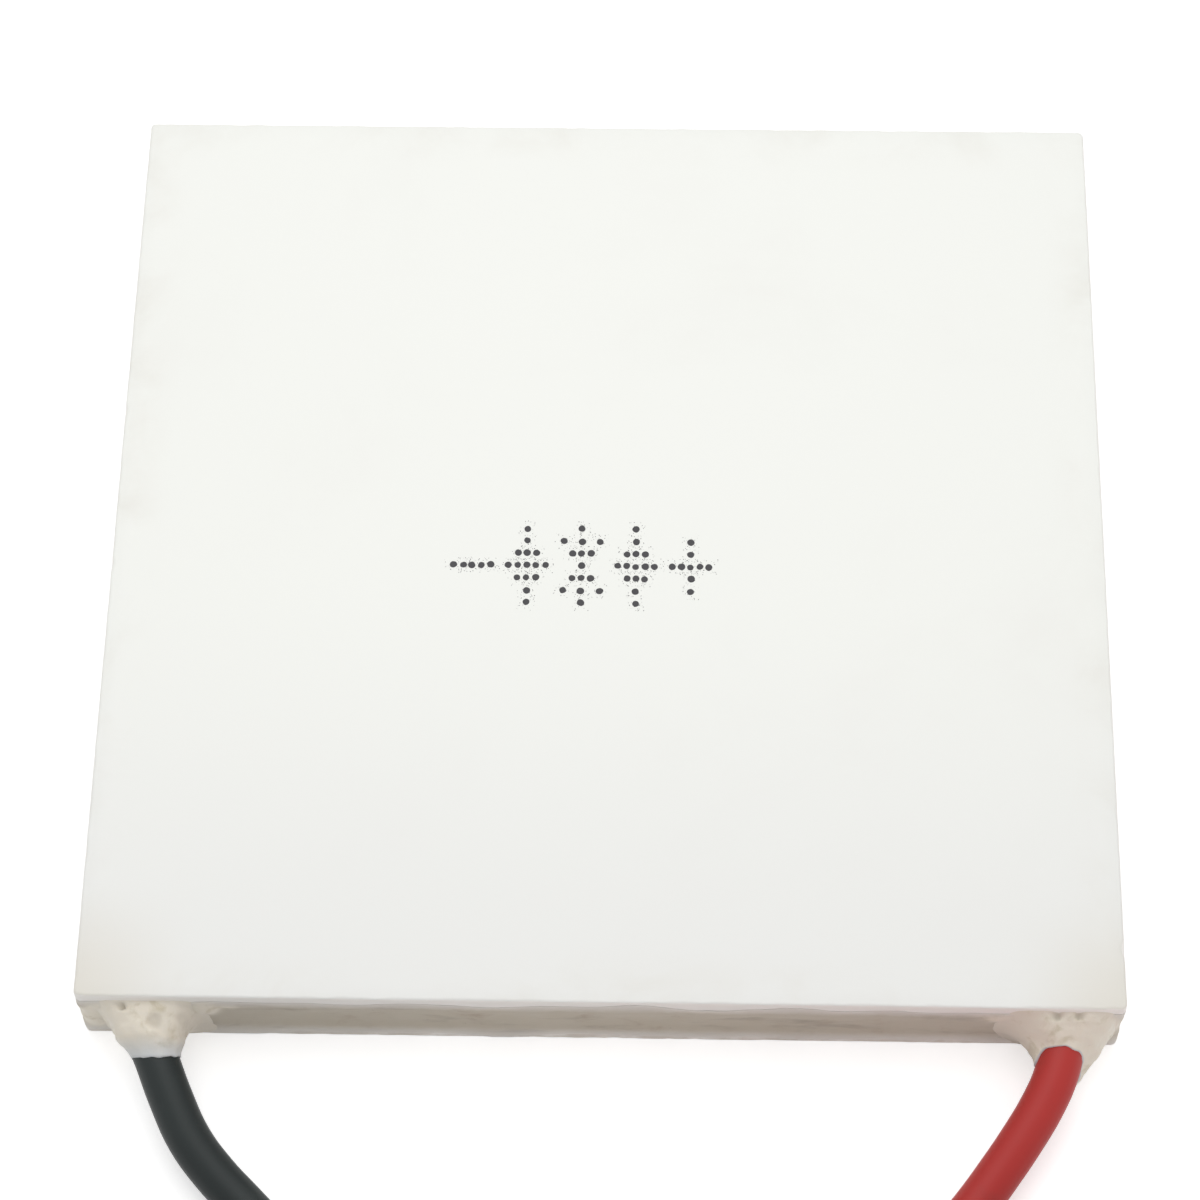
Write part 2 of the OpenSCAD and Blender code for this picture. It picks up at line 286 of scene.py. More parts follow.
def make_alumina(name, face_z, residue):
    """White fired ceramic with faint clouds, specks, a wiped rim, painted shade that greys its top
    towards the front edge, and silicone on its sides.
    """
    material, tree, shader, place = finish(name, 0.6)
    parts = add(tree, "ShaderNodeSeparateXYZ", {"Vector": place})
    far_x = reckon(tree, "ABSOLUTE", parts.outputs["X"])
    far_y = reckon(tree, "ABSOLUTE", parts.outputs["Y"])
    reach = reckon(tree, "MAXIMUM", far_x, far_y)
    clouds = use(tree, BLOTCHES, place, Size=0.013, Cover=0.5, Softness=0.4)
    colour = mixed(tree, times(tree, clouds, 0.6), FIRED_WHITE, CLOUDED_WHITE)
    # painted shade: the top greys towards the front edge, standing in for the lamp's fall-off
    painted_front_shade = ramp(tree, parts.outputs["Y"], -0.05 * half_side, -half_side)
    colour = mixed(tree, times(tree, painted_front_shade, 0.7), colour, FRONT_SHADE_WHITE)
    rim = ramp(tree, reach, half_side - WIPED_WIDTH, half_side - 0.1 * MM)
    wiped = use(tree, BLOTCHES, place, Size=0.005, Cover=0.65, Softness=0.5)
    colour = mixed(tree, times(tree, times(tree, rim, wiped), 0.75), colour, WIPED_RIM)
    corner = times(tree, ramp(tree, far_x, half_side - STAIN_WIDTH, half_side),
                   ramp(tree, parts.outputs["Y"], STAIN_WIDTH - half_side, -half_side))
    colour = mixed(tree, times(tree, corner, 0.55), colour, STAINED_CORNER)
    specks = use(tree, SPECKS, place, Spacing=0.0042, Radius=0.00009, Share=0.3)
    colour = mixed(tree, times(tree, specks, 0.75), colour, SPECK_BROWN)
    off_face = reckon(tree, "ABSOLUTE", reckon(tree, "SUBTRACT", parts.outputs["Z"], face_z))
    side = ramp(tree, off_face, 0.03 * MM, 0.08 * MM)
    film = use(tree, BLOTCHES, place, Size=0.0017, Cover=residue, Softness=0.3)
    colour = mixed(tree, side, colour, mixed(tree, film, SNAPPED_SIDE, FILMED_SIDE))
    tree.links.new(colour, shader.inputs["Base Color"])
    roughen(tree, shader, use(tree, GRAIN, place, Size=0.00022), 0.004 * MM)
    return material


hot_plate = ceramic_plate("hot_plate_ceramic", hot_low.z, hot_high.z, seed=3)
hot_plate.data.materials.append(make_alumina("hot_side_alumina", hot_low.z, residue=0.9))
seat(hot_plate, "alumina", "hot_plate")


# ---- Copper tabs, solder and pellets ----
# Etched copper bridges are bonded to both plates. Cubes of P-type and N-type bismuth telluride
# stand between them, soldered at both ends, and all lie in one electric chain.

def make_copper():
    """Etched and slightly oxidised copper."""
    material, tree, shader, place = finish("etched_copper", 0.38, metallic=1.0)
    stain = use(tree, BLOTCHES, place, Size=0.0018, Cover=0.45, Softness=0.3)
    colour = mixed(tree, stain, linear(214, 140, 108), linear(160, 92, 66))
    tree.links.new(colour, shader.inputs["Base Color"])
    roughen(tree, shader, use(tree, GRAIN, place, Size=0.00008), 0.004 * MM)
    return material


def make_telluride(name, tone):
    """Sawn bismuth telluride: grey, with bright cleavage flakes."""
    material, tree, shader, place = finish(name, 0.42, metallic=0.85)
    flakes = use(tree, BLOTCHES, place, Size=0.0005, Cover=0.4, Softness=0.08)
    dark = linear(*(c * 0.72 for c in tone))
    tree.links.new(mixed(tree, flakes, dark, linear(*tone)), shader.inputs["Base Color"])
    roughen(tree, shader, use(tree, GRAIN, place, Size=0.00012), 0.008 * MM)
    return material


def make_solder():
    """Dull tin solder with a slightly crystalline skin."""
    material, tree, shader, place = finish("tin_solder", 0.34, metallic=1.0)
    frost = use(tree, BLOTCHES, place, Size=0.0004, Cover=0.5, Softness=0.2)
    colour = mixed(tree, frost, linear(205, 206, 208), linear(168, 168, 170))
    tree.links.new(colour, shader.inputs["Base Color"])
    roughen(tree, shader, use(tree, GRAIN, place, Size=0.0001), 0.006 * MM)
    return material


COPPER = make_copper()
P_TYPE = make_telluride("p_type_telluride", (128, 130, 138))
N_TYPE = make_telluride("n_type_telluride", (148, 149, 154))
SOLDER = make_solder()
INNER_FINISHES = {
    "hot_tabs": COPPER, "cold_tabs": COPPER, "p_pellets": P_TYPE, "n_pellets": N_TYPE,
    "hot_solder": SOLDER, "cold_solder": SOLDER,
    "black_lead_joint": SOLDER, "red_lead_joint": SOLDER,
}

# the tabs and pellets come in groups that are numbered from 1 to 8
for name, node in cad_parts.items():
    inner_finish = INNER_FINISHES.get(name.rstrip("_12345678"))
    if inner_finish:
        node.data.materials.clear()
        node.data.materials.append(inner_finish)


# ---- Cold plate ----
# The same alumina square, soldered down by the copper tabs on its lower face, with its rim
# over the hot plate's. It is the side that gets cold and that carries the mark.

cold_low, cold_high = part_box("cold_plate")
cold_plate = ceramic_plate("cold_plate_ceramic", cold_low.z, cold_high.z, seed=11)
cold_plate.data.materials.append(make_alumina("cold_side_alumina", cold_high.z, residue=0.2))
seat(cold_plate, "alumina", "cold_plate")


# ---- Ink mark ----
# A dot-matrix inkjet mark on the cold plate: a snowflake for the cold side between two
# lozenges, with a minus on the black lead's side and a plus on the red one's.

MARK_MIDDLE = Vector((-1.05 * MM, -1.3 * MM))
SIGN_PITCH = 2.2 * MM
DOT_PITCH = Vector((0.37 * MM, 0.56 * MM))
DOT_RADIUS = 0.145 * MM
DOT_HEIGHT = 0.006 * MM
DOT_DRIFT = 0.025 * MM
DOT_RAGGED = 0.06 * MM
DOT_WAVE = 0.18 * MM
SPRAY_COUNT = 26
SPRAY_SPREAD = 0.36 * MM
MINUS = ["     ", "     ", "     ", "#####", "     ", "     ", "     "]
LOZENGE = ["  #  ", "  #  ", " ### ", "#####", " ### ", "  #  ", "  #  "]
SNOWFLAKE = ["  #  ", "# # #", " ### ", "  #  ", " ### ", "# # #", "  #  "]
PLUS = ["     ", "  #  ", "  #  ", "#####", "  #  ", "  #  ", "     "]
SIGNS = [MINUS, LOZENGE, SNOWFLAKE, LOZENGE, PLUS]


def tree_with(name, **sockets):
    """Starts a Geometry Nodes tree with named inputs and a Geometry output."""
    kinds = {float: "NodeSocketFloat", int: "NodeSocketInt", tuple: "NodeSocketVector"}
    tree = bpy.data.node_groups.new(name, "GeometryNodeTree")
    tree.interface.new_socket("Geometry", in_out="INPUT", socket_type="NodeSocketGeometry")
    for socket, value in sockets.items():
        kind = kinds.get(type(value), "NodeSocketMaterial")
        tree.interface.new_socket(socket, in_out="INPUT", socket_type=kind)
    tree.interface.new_socket("Geometry", in_out="OUTPUT", socket_type="NodeSocketGeometry")
    return tree, tree.nodes.new("NodeGroupInput"), tree.nodes.new("NodeGroupOutput")


def spattered(tree, given, points, corners, least, most, drift, seed):
    """Sets a disc on each point, scaled between least and most and moved by up to drift."""
    disc = add(tree, "GeometryNodeMeshCylinder", {
        "Vertices": corners, "Radius": given.outputs["Radius"], "Depth": given.outputs["Height"]})
    size = add(tree, "FunctionNodeRandomValue", {2: least, 3: most, "Seed": seed},
               data_type="FLOAT")
    placed = add(tree, "GeometryNodeInstanceOnPoints", {
        "Points": points, "Instance": disc.outputs["Mesh"], "Scale": size.outputs[1]})
    wander = add(tree, "FunctionNodeRandomValue", {0: (-1, -1, 0), 1: (1, 1, 0), "Seed": seed + 1},
                 data_type="FLOAT_VECTOR")
    offset = add(tree, "ShaderNodeVectorMath", {0: wander.outputs[0], "Scale": drift},
                 operation="SCALE")
    return add(tree, "GeometryNodeTranslateInstances", {
        "Instances": placed.outputs["Instances"], "Translation": offset.outputs[0],
        "Local Space": False}).outputs[0]


def drops_tree():
    """Dries a drop of ink on every point, with a faint haze of spray round it."""
    tree, given, out = tree_with("ink_drops", Radius=0.1, Height=0.1, Drift=0.1, Spray=1,
                                 Spread=0.1, Ink=None)
    drops = spattered(tree, given, given.outputs["Geometry"], corners=14, least=0.92, most=1.08,
                      drift=given.outputs["Drift"], seed=4)
    more = add(tree, "GeometryNodeDuplicateElements", {
        "Geometry": given.outputs["Geometry"], "Amount": given.outputs["Spray"]}, domain="POINT")
    spray = spattered(tree, given, more.outputs["Geometry"], corners=5, least=0.04, most=0.14,
                      drift=given.outputs["Spread"], seed=20)
    both = add(tree, "GeometryNodeJoinGeometry")
    tree.links.new(drops, both.inputs[0])
    tree.links.new(spray, both.inputs[0])
    real = add(tree, "GeometryNodeRealizeInstances", {"Geometry": both.outputs[0]})
    waves = add(tree, "ShaderNodeTexNoise", {"Scale": 1 / DOT_WAVE})
    centred = add(tree, "ShaderNodeVectorMath", {0: waves.outputs["Color"], 1: (0.5, 0.5, 0.5)},
                  operation="SUBTRACT")
    level = add(tree, "ShaderNodeVectorMath", {
        0: centred.outputs[0], 1: (DOT_RAGGED, DOT_RAGGED, 0)}, operation="MULTIPLY")
    ragged = add(tree, "GeometryNodeSetPosition", {
        "Geometry": real.outputs["Geometry"], "Offset": level.outputs[0]})
    inked = add(tree, "GeometryNodeSetMaterial", {
        "Geometry": ragged.outputs["Geometry"], "Material": given.outputs["Ink"]})
    tree.links.new(inked.outputs["Geometry"], out.inputs["Geometry"])
    return tree


def grown(name, seed_mesh, tree, values):
    """Runs a Geometry Nodes tree on a mesh with the given inputs and keeps the plain result."""
    holder = in_scene(name + "_source", seed_mesh)
    modifier = holder.modifiers.new("grow", "NODES")
    modifier.node_group = tree
    sockets = {item.name: item.identifier for item in tree.interface.items_tree
               if item.in_out == "INPUT"}
    for key, value in values.items():
        modifier[sockets[key]] = value
    evaluated = holder.evaluated_get(bpy.context.evaluated_depsgraph_get())
    mesh = bpy.data.meshes.new_from_object(evaluated)
    bpy.data.objects.remove(holder)
    return in_scene(name, mesh)


def make_ink():
    """Dried dark grey ink, thinner in places."""
    material, tree, shader, place = finish("marking_ink", 0.7)
    thin = use(tree, BLOTCHES, place, Size=0.0003, Cover=0.4, Softness=0.4)
    tree.links.new(mixed(tree, thin, linear(68, 67, 70), linear(98, 96, 98)),
                   shader.inputs["Base Color"])
    return material


dots = bmesh.new()
for number, sign in enumerate(SIGNS):
    sign_x = MARK_MIDDLE.x + (number - (len(SIGNS) - 1) / 2) * SIGN_PITCH
    for row, line in enumerate(sign):
        for column, drop in enumerate(line):
            if drop == "#":
                dots.verts.new((
                    sign_x + (column - (len(line) - 1) / 2) * DOT_PITCH.x,
                    MARK_MIDDLE.y - (row - (len(sign) - 1) / 2) * DOT_PITCH.y,
                    cold_high.z + DOT_HEIGHT / 2,
                ))
dot_points = bpy.data.meshes.new("dot_points")
dots.to_mesh(dot_points)
dots.free()

ink_mark = grown("ink_mark", dot_points, drops_tree(), {
    "Radius": DOT_RADIUS, "Height": DOT_HEIGHT, "Drift": DOT_DRIFT, "Spray": SPRAY_COUNT,
    "Spread": SPRAY_SPREAD, "Ink": make_ink()})
seat(ink_mark, "black_pvc")


# ---- Leads ----
# Stranded copper in PVC, 1.7 mm over the insulation, one black and one red. Each comes out of
# its dab of silicone, sinks to the surface and curves inward; its spare length lies coiled.

BLACK_ROUTE = [
    # inward and outward of the lead's pad at the plates' front, in mm, and share of the drop
    # from the pad to the surface
    (0, -1.25, 0), (0, -0.1, 0), (0.15, 0.9, 0), (0.55, 1.9, 0.05), (1.1, 3.2, 0.25),
    (1.9, 4.75, 0.55), (2.9, 6, 0.8), (4, 7.1, 0.95), (5.6, 8.7, 1), (7.2, 10.3, 1),
    (8.8, 11.9, 1), (10.4, 13.5, 0.9), (12.1, 15.2, 0.7),
]
RED_ROUTE = [
    (0, -1.25, 0), (0, -0.1, 0), (0.08, 0.7, 0), (0.35, 1.8, 0.05), (0.9, 3, 0.25),
    (1.7, 4.3, 0.5), (2.5, 5.45, 0.75), (3.5, 6.8, 0.95), (4.9, 8.5, 1), (6.5, 10.2, 1),
    (8.1, 11.85, 1), (9.75, 13.5, 0.9), (11.4, 15.2, 0.7),
]
TAIL_ROUTE = [
    # outward of the coil's middle, in mm, and share of the drop from its top turn to the surface
    (0, 0), (2, 0), (4, 0.02), (6, 0.08), (8, 0.2), (10, 0.38), (12, 0.58),
    (14, 0.76), (16, 0.9), (18, 0.97), (20, 1), (22, 1),
]
COIL_TURNS = 3.125
COIL_POINTS = 16
LEAD_RADIUS = 0.85 * MM


def middle(node):
    """The middle of a CAD node's box."""
    low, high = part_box(node)
    return (low + high) / 2


def lead_points(colour, route, inward):
    """A lead's whole centreline: from its pad to the coil, round the coil and out to its end."""
    pad = middle(colour + "_conductor")
    drop = LEAD_RADIUS - pad.z
    front = [Vector((pad.x + inward * x * MM, -half_side - y * MM, pad.z + share * drop))
             for x, y, share in route]
    coil_low, coil_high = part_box(colour + "_lead_coil")
    centre = (coil_low + coil_high) / 2
    radius = (coil_high.x - coil_low.x) / 2 - LEAD_RADIUS
    base = coil_low.z + LEAD_RADIUS
    turns = []
    for i in range(1, round(COIL_TURNS * COIL_POINTS)):
        turn = i / COIL_POINTS
        angle = 2 * math.pi * (COIL_TURNS - turn)
        turns.append(Vector((
            centre.x + inward * radius * math.cos(angle),
            centre.y + radius * math.sin(angle),
            base + turn * 2 * LEAD_RADIUS,
        )))
    top = base + COIL_TURNS * 2 * LEAD_RADIUS
    tail = [Vector((centre.x + inward * radius, centre.y - out * MM,
                    top + share * (LEAD_RADIUS - top))) for out, share in TAIL_ROUTE]
    return front + turns + tail


def make_pvc(name, colour, worn):
    """Soft PVC insulation with a satin skin and a little handling dirt."""
    material, tree, shader, place = finish(name, 0.52)
    dull = use(tree, BLOTCHES, place, Size=0.0022, Cover=0.5, Softness=0.4)
    tree.links.new(mixed(tree, dull, linear(*colour), linear(*worn)), shader.inputs["Base Color"])
    shader.inputs["Specular IOR Level"].default_value = 0.3
    roughen(tree, shader, use(tree, GRAIN, place, Size=0.0005), 0.006 * MM)
    return material


def lead_piece(name, points, material):
    """A round lead of one smooth spline."""
    curve = bpy.data.curves.new(name, "CURVE")
    curve.dimensions = "3D"
    curve.bevel_depth = LEAD_RADIUS
    curve.bevel_resolution = 5
    curve.resolution_u = 5
    curve.use_fill_caps = True
    spline = curve.splines.new("BEZIER")
    spline.bezier_points.add(len(points) - 1)
    for knot, point in zip(spline.bezier_points, points):
        knot.co = point
        knot.handle_left_type = "AUTO"
        knot.handle_right_type = "AUTO"
    curve.materials.append(material)
    return in_scene(name, curve)


black_points = lead_points("black", BLACK_ROUTE, 1)
red_points = lead_points("red", RED_ROUTE, -1)
black_lead = lead_piece("black_lead_wire", black_points,
                        make_pvc("black_pvc_skin", (38, 44, 44), (50, 57, 56)))
red_lead = lead_piece("red_lead_wire", red_points,
                      make_pvc("red_pvc_skin", (180, 53, 49), (163, 57, 53)))
seat(black_lead, "black_pvc", "black_lead", "black_lead_coil", "black_lead_tail")
seat(red_lead, "red_pvc", "red_lead", "red_lead_coil", "red_lead_tail")


# ---- Bare strands ----
# Nineteen fine copper strands, laid in two twisted layers round one and tinned. They show
# at the stripped end of each lead, and inside the seal they lie on the lead's pad.

STRAND_RADIUS = 0.09 * MM
STRAND_TWIST = 1 / (9 * MM)
LAYERS = [(1, 0), (6, 2), (12, 4)]  # strands, and how many of their radii off the middle


def strands_tree():
    """A twisted bundle of nineteen strands that starts at Place and runs along -Y for Length."""
    tree, given, out = tree_with("strand_bundle", Length=0.1, Thickness=0.1, Twist=0.1,
                                 Place=(0, 0, 0), Metal=None)
    turns = times(tree, given.outputs["Length"], given.outputs["Twist"])
    bundle = add(tree, "GeometryNodeJoinGeometry")
    for count, off_middle in LAYERS:
        radius = times(tree, given.outputs["Thickness"], float(off_middle))
        spiral = add(tree, "GeometryNodeCurveSpiral", {
            "Resolution": 24, "Rotations": turns, "Start Radius": radius,
            "End Radius": radius, "Height": given.outputs["Length"]})
        starts = add(tree, "GeometryNodePoints", {"Count": count})
        index = add(tree, "GeometryNodeInputIndex")
        angle = times(tree, index.outputs[0], 2 * math.pi / count)
        turned = add(tree, "ShaderNodeCombineXYZ", {"Z": angle})
        layer = add(tree, "GeometryNodeInstanceOnPoints", {
            "Points": starts.outputs[0], "Instance": spiral.outputs["Curve"],
            "Rotation": turned.outputs[0]})
        tree.links.new(layer.outputs["Instances"], bundle.inputs[0])
    real = add(tree, "GeometryNodeRealizeInstances", {"Geometry": bundle.outputs[0]})
    section = add(tree, "GeometryNodeCurvePrimitiveCircle", {
        "Resolution": 8, "Radius": given.outputs["Thickness"]})
    wires = add(tree, "GeometryNodeCurveToMesh", {
        "Curve": real.outputs["Geometry"], "Profile Curve": section.outputs["Curve"],
        "Fill Caps": True})
    laid = add(tree, "GeometryNodeTransform", {
        "Geometry": wires.outputs["Mesh"], "Translation": given.outputs["Place"],
        "Rotation": (math.pi / 2, 0, 0)})
    metal = add(tree, "GeometryNodeSetMaterial", {
        "Geometry": laid.outputs["Geometry"], "Material": given.outputs["Metal"]})
    tree.links.new(metal.outputs["Geometry"], out.inputs["Geometry"])
    return tree


def make_tinned():
    """Tinned copper: bright, with warmer patches where the tin is thin."""
    material, tree, shader, place = finish("tinned_copper", 0.3, metallic=1.0)
    thin = use(tree, BLOTCHES, place, Size=0.0009, Cover=0.35, Softness=0.2)
    tree.links.new(mixed(tree, thin, linear(206, 205, 202), linear(196, 172, 150)),
                   shader.inputs["Base Color"])
    roughen(tree, shader, use(tree, GRAIN, place, Size=0.0001), 0.003 * MM)
    return material


TINNED = make_tinned()
STRANDS = strands_tree()


def bare_strands(name, node):
    """The bundle that fills a CAD node's length, from its +Y end."""
    low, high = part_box(node)
    place = Vector(((low.x + high.x) / 2, high.y, (low.z + high.z) / 2))
    bundle = grown(name, bpy.data.meshes.new(name + "_start"), STRANDS, {
        "Length": high.y - low.y, "Thickness": STRAND_RADIUS, "Twist": STRAND_TWIST,
        "Place": place, "Metal": TINNED})
    seat(bundle, "tinned_copper", node)
    return bundle


bare_strands("black_pad_strands", "black_conductor")
bare_strands("red_pad_strands", "red_conductor")
black_tip = bare_strands("black_tip_strands", "black_lead_tip")
red_tip = bare_strands("red_tip_strands", "red_lead_tip")


# ---- Edge seal ----
# A bead of silicone drawn round the rim keeps moisture off the couples. It is wiped level
# with the plates by finger, which smears it thinly over their sides and leaves a few gobs.

BEAD_ROWS = 17
BEAD_FILM = 0.012 * MM
BEAD_ROOT = 0.002 * MM
BEAD_HOLLOW = 0.05  # in mm, as the next two are
BEAD_LUMPS = 0.034
BEAD_RIPPLES = 0.016
THIN_ABOVE = 0.25 * MM
THIN_BELOW = 0.3 * MM
# a smear's usual, least and greatest reach over a plate's side in mm, its wavelength and shift
SMEAR_DOWN = (0.55, 0.1, 0.75, 2.6 * MM, Vector((5, 0, 0)))
SMEAR_UP = (0.3, 0.1, 0.66, 2.9 * MM, Vector((0, 8, 0)))
GOBS = [
    # place along the front, height, half width, half height and thickness, in mm
    (-19.4, 1.9, 0.45, 0.85, 0.18), (-18.9, 2.9, 0.35, 0.25, 0.10), (-15.1, 2.75, 0.4, 0.45, 0.22),
    (-14.2, 3.0, 0.5, 0.2, 0.05), (15.5, 2.8, 0.9, 0.4, 0.08), (19.6, 2.2, 0.3, 1.0, 0.08),
]

seal_low, seal_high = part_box("edge_seal")
seal_inner = half_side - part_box("hot_tabs_8")[1].x - 0.15 * MM


def gob_height(spot):
    """How thick the gobs of silicone stand on the bead at a point near the front."""
    if spot.y > 0.5 * MM - half_side:
        return 0
    return sum(depth * MM * math.exp(-((spot.x / MM - x) / wide) ** 2
                                     - ((spot.z / MM - z) / tall) ** 2)
               for x, z, wide, tall, depth in GOBS)


def smear(here, usual, least, most, wave, shift):
    """How far silicone is smeared over a plate's side at a point of the rim."""
    reach = usual + 0.5 * noise.noise(here / wave + shift)
    return max(least, min(most, reach)) * MM


def smear_ends(here):
    """The heights between which silicone covers the sides of the plates at a point of the rim."""
    return hot_high.z - smear(here, *SMEAR_DOWN), cold_low.z + smear(here, *SMEAR_UP)


def bead_profile(here):
    """The bead's section at a point of the rim, with its smears on both plates' sides."""
    low_end, high_end = smear_ends(here)
    drawn_in = BEAD_HOLLOW + BEAD_HOLLOW * noise.noise(here / (4 * MM))
    section = [(seal_inner, seal_low.z), (BEAD_ROOT, seal_low.z), (BEAD_ROOT, low_end)]
    for i in range(BEAD_ROWS):
        z = low_end + (high_end - low_end) * (i + 0.5) / BEAD_ROWS
        spot = here + Vector((0, 0, z))
        between = max(0, 1 - abs(2 * z - hot_high.z - cold_low.z) / (cold_low.z - hot_high.z))
        hollow = drawn_in * min(1, 1.6 * between) ** 2
        lump = BEAD_LUMPS * noise.noise(spot / (0.8 * MM))
        lump += BEAD_RIPPLES * noise.noise(spot / (0.25 * MM))
        inset = (hollow + lump) * MM if between else 0.3 * lump * MM
        section.append((inset - BEAD_FILM - gob_height(spot), z))
    return section + [(BEAD_ROOT, high_end), (BEAD_ROOT, seal_high.z), (seal_inner, seal_high.z)]


def nearest_station(spot):
    """The station of the rim that a point near it belongs to."""
    reach = max(abs(spot.x), abs(spot.y))
    return spot.x / reach, spot.y / reach


def thinness(spot):
    """How thinly silicone is smeared at a point: 0 in the gap, 1 where it ends on a plate."""
    low_end, high_end = smear_ends(Vector((*at_rim(nearest_station(spot), 0), 0)))
    above = (spot.z - cold_low.z + THIN_ABOVE) / (high_end - cold_low.z + THIN_ABOVE)
    below = (hot_high.z - spot.z + THIN_BELOW) / (hot_high.z - low_end + THIN_BELOW)
    return min(1, max(0, above, below))


def read_share(tree, name):
    """A mask that is stored on the piece's own points."""
    return add(tree, "ShaderNodeAttribute", attribute_name=name).outputs["Fac"]


def store_share(piece, name, share):
    """Stores on each point of a piece the mask that share works out from its place."""
    mask = piece.data.attributes.new(name, "FLOAT", "POINT")
    mask.data.foreach_set("value", [share(i, point.co) for i, point
                                    in enumerate(piece.data.vertices)])


WIPED_GREY = linear(187, 178, 161)
SMEARED_GREY = linear(146, 135, 119)
RUBBED_BROWN = linear(154, 134, 113)
GRIME = linear(126, 114, 100)
THIN_WHITE = linear(240, 235, 228)
DABBED_CREAM = linear(234, 226, 211)
STREAKED_CREAM = linear(212, 202, 180)
FILM_OVER_LEAD = linear(196, 204, 212)


def make_silicone():
    """Cured cream silicone: clean where it is dabbed, grey-brown where it is wiped and dirty; the
    same grey-brown is painted on the dabs as shade, in their pits and low inner fillets.
    """
    material, tree, shader, place = finish("cured_silicone", 0.5)
    drawn = add(tree, "ShaderNodeMapping", {"Vector": place, "Scale": (0.22, 0.22, 1.0)})
    smears = use(tree, BLOTCHES, drawn.outputs["Vector"], Size=0.0011, Cover=0.5, Softness=0.25)
    wiped = mixed(tree, smears, WIPED_GREY, SMEARED_GREY)
    rubbed = use(tree, BLOTCHES, place, Size=0.0019, Cover=0.4, Softness=0.3)
    wiped = mixed(tree, times(tree, rubbed, 0.85), wiped, RUBBED_BROWN)
    grime = use(tree, BLOTCHES, place, Size=0.0005, Cover=0.22, Softness=0.15)
    wiped = mixed(tree, times(tree, grime, 0.4), wiped, GRIME)
    wiped = mixed(tree, times(tree, read_share(tree, "thin"), 0.95), wiped, THIN_WHITE)
    streaks = use(tree, BLOTCHES, place, Size=0.0009, Cover=0.45, Softness=0.2)
    dabbed = mixed(tree, streaks, DABBED_CREAM, STREAKED_CREAM)
    # the dabbed colour shows by the stored share, which is lowered on the dabs where shade is
    # painted
    colour = mixed(tree, read_share(tree, "fresh_unshaded"), wiped, dabbed)
    colour = mixed(tree, read_share(tree, "film"), colour, FILM_OVER_LEAD)
    tree.links.new(colour, shader.inputs["Base Color"])
    shader.inputs["Subsurface Weight"].default_value = 0.12
    shader.inputs["Subsurface Radius"].default_value = (1.0, 0.8, 0.6)
    shader.inputs["Subsurface Scale"].default_value = 0.4 * MM
    roughen(tree, shader, use(tree, GRAIN, place, Size=0.00025), 0.02 * MM)
    return material


SILICONE = make_silicone()

edge_seal = rim_loft("edge_seal_bead", bead_profile, closed=True)
edge_seal.data.materials.append(SILICONE)
store_share(edge_seal, "fresh_unshaded", lambda i, spot: min(1, gob_height(spot) / (0.05 * MM)))
store_share(edge_seal, "thin", lambda i, spot: thinness(spot))
seat(edge_seal, "silicone", "edge_seal")


# ---- Lead dabs ----
# More silicone is dabbed over each lead where it comes out, against both plates. It spreads
# onto them in a fillet, draws in to a thin skin round the lead and has a few small pits.

DAB_RINGS = 46
DAB_SIDES = 100
DAB_SKIN = 0.05 * MM
DAB_ROOT = 0.15  # in mm, as the next three are
DAB_CROWN = 0.25
DAB_LUMPS = 0.10
DAB_RIPPLES = 0.05
FILM_SHARE = 0.7
# the angle of the low inner side, whose concave fillet is painted darker as shade, with a little of
# thick silicone's brown
SHADED_BROWN_SIDE = math.radians(225)
BLACK_DAB = [
    # angle up from the outer side, reach along the lead in mm, and how far the silicone stands
    # off the lead at the plates and at a sixteenth, a quarter and nine sixteenths of that reach
    (-45, 1.60, 1.30, 0.95, 0.75, 0.35),
    (0, 1.68, 1.10, 0.78, 0.60, 0.32),
    (45, 1.85, 1.65, 1.20, 0.93, 0.50),
    (90, 1.93, 0.95, 0.88, 0.75, 0.46),
    (135, 1.80, 1.85, 1.25, 0.93, 0.50),
    (180, 1.60, 1.80, 1.00, 0.66, 0.41),
    (205, 1.50, 2.30, 1.30, 0.75, 0.36),
    (240, 1.50, 1.30, 0.90, 0.58, 0.25),
    (270, 1.60, 0.80, 0.65, 0.50, 0.25),
]
RED_DAB = [
    (-35, 2.40, 1.30, 1.05, 0.86, 0.46),
    (5, 1.30, 1.10, 1.00, 0.88, 0.56),
    (45, 1.10, 1.70, 1.35, 1.05, 0.55),
    (90, 0.98, 1.05, 0.90, 0.74, 0.44),
    (135, 1.00, 2.10, 1.45, 1.00, 0.50),
    (180, 1.45, 2.00, 1.35, 0.88, 0.37),
    (215, 1.40, 1.65, 1.10, 0.72, 0.29),
    (270, 1.50, 0.80, 0.65, 0.50, 0.25),
]


def along(points, outward):
    """The point of a centreline that lies a distance outward of the plates' front."""
    for a, b in zip(points, points[1:]):
        if b.y <= -half_side - outward <= a.y:
            return a.lerp(b, (a.y + half_side + outward) / (a.y - b.y))
    return points[0]


def by_side(turn, sides):
    """Reads a dab's table at any angle round the lead, in degrees from its outer side."""
    first = sides[0][0]
    turn = (turn - first) % 360 + first
    for (a, *here), (b, *there) in zip(sides, sides[1:] + [(first + 360, *sides[0][1:])]):
        if turn <= b:
            share = (turn - a) / (b - a)
            share *= share * (3 - 2 * share)
            return [p + (q - p) * share for p, q in zip(here, there)]


def stand_off(values, t):
    """How far silicone stands off the lead, on a smooth run of values as t goes from 0 to 1."""
    quarter = min(3, int(t * 4))
    f = t * 4 - quarter
    run = [2 * values[0] - values[1], *values, 0, 0]
    a, b, c, d = run[quarter:quarter + 4]
    return b + 0.5 * f * (c - a + f * (2 * a - 5 * b + 4 * c - d + f * (3 * (b - c) + d - a)))


def lead_section(points, out):
    """The middle of a lead at a distance outward, and how much its slant widens the cut there."""
    axis = along(points, out)
    ahead = along(points, out + 0.2 * MM)
    return axis, math.hypot(ahead.x - axis.x, ahead.y - axis.y) / abs(ahead.y - axis.y)


